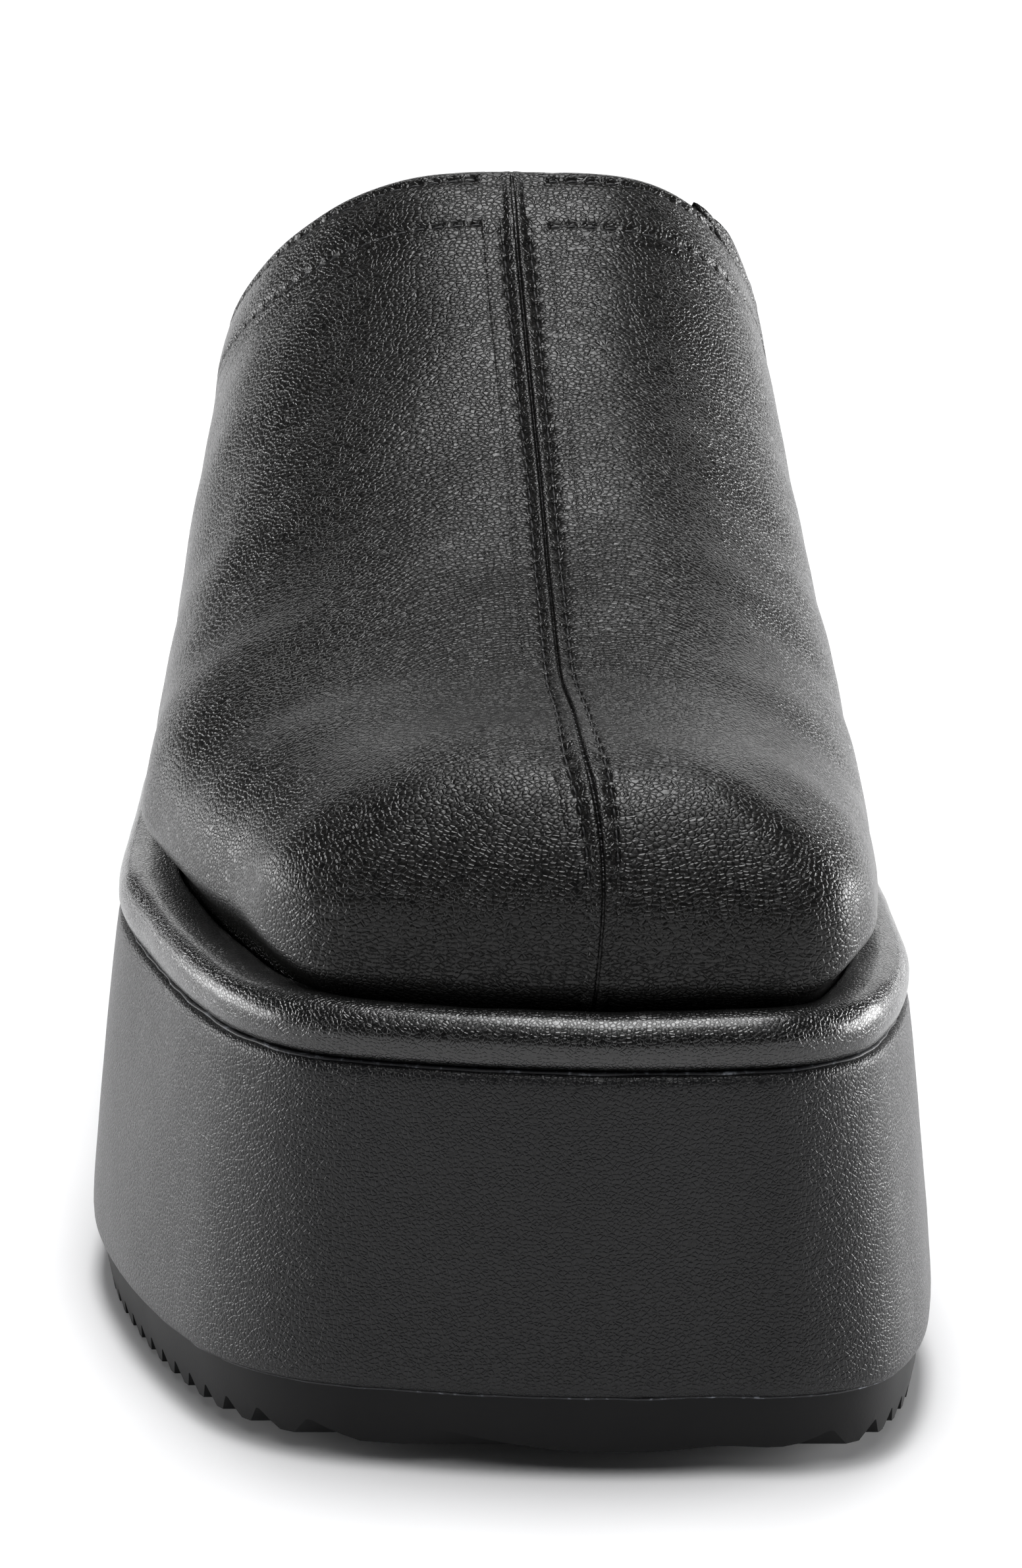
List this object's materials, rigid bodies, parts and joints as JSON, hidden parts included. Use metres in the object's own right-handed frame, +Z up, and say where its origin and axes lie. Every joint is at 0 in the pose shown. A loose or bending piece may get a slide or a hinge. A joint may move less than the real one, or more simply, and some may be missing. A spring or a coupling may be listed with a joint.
{
  "type": "platform mule",
  "caption": "Backless slip-on shoe with a closed square toe, a raised centre seam, a wrapped wedge platform and a ridged rubber sole.",
  "frame": {"origin": "on the floor, under the middle of the shoe's bounding box", "axes": "+Z up, toe towards -Y, inner (big toe) side of this right shoe towards +X"},
  "size_m": [0.1062, 0.262, 0.1285],
  "materials": {
    "outsole_rubber": "matt black moulded rubber",
    "platform_leather": "black fine-grained leather, semi-gloss",
    "rand_leather": "black smooth leather over padding, semi-gloss",
    "insole_leather": "black smooth lining leather over foam",
    "upper_leather": "black fine-grained leather, semi-gloss, with tone-on-tone stitching",
    "gore_elastic": "black ribbed elastic"
  },
  "bodies": {
    "root": {"outsole": "outsole_rubber", "platform": "platform_leather", "rand": "rand_leather", "insole": "insole_leather", "upper": "upper_leather", "gore": "gore_elastic"}
  },
  "joints": []
}
